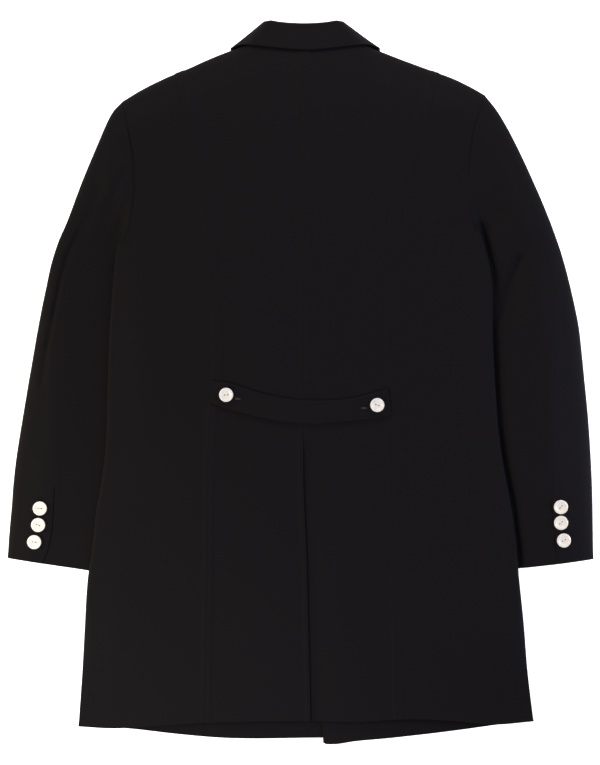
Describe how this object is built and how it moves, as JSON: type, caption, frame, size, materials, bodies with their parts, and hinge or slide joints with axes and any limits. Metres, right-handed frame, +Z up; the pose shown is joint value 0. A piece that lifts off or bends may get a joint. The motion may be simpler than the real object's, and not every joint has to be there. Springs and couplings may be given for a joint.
{
  "type": "blazer",
  "caption": "Long tailored blazer laid flat face down: notched collar, panelled back with a vent and a buttoned half belt, buttoned cuffs.",
  "frame": {"origin": "the middle of the bounding box, on the surface that the garment lies on", "axes": "+X towards the wearer's right sleeve, +Y from the hem to the collar, +Z up, out of the back"},
  "size_m": [0.7534, 0.9301, 0.0267],
  "materials": {
    "black_wool": "matte wool twill with a faint sheen",
    "white_button": "polished"
  },
  "bodies": {
    "root": {"back_centre_left": "black_wool", "back_centre_right": "black_wool", "back_side_left": "black_wool", "back_side_right": "black_wool", "front_left": "black_wool", "front_right": "black_wool", "sleeve_upper_left": "black_wool", "sleeve_upper_right": "black_wool", "sleeve_under_left": "black_wool", "sleeve_under_right": "black_wool", "collar_fall": "black_wool", "collar_stand": "black_wool", "lapel_left": "black_wool", "lapel_right": "black_wool", "half_belt": "black_wool", "belt_button_left": "white_button", "belt_button_right": "white_button", "cuff_button_left_1": "white_button", "cuff_button_left_2": "white_button", "cuff_button_left_3": "white_button", "cuff_button_right_1": "white_button", "cuff_button_right_2": "white_button", "cuff_button_right_3": "white_button", "front_button_1": "white_button", "front_button_2": "white_button", "front_button_3": "white_button"}
  },
  "joints": []
}
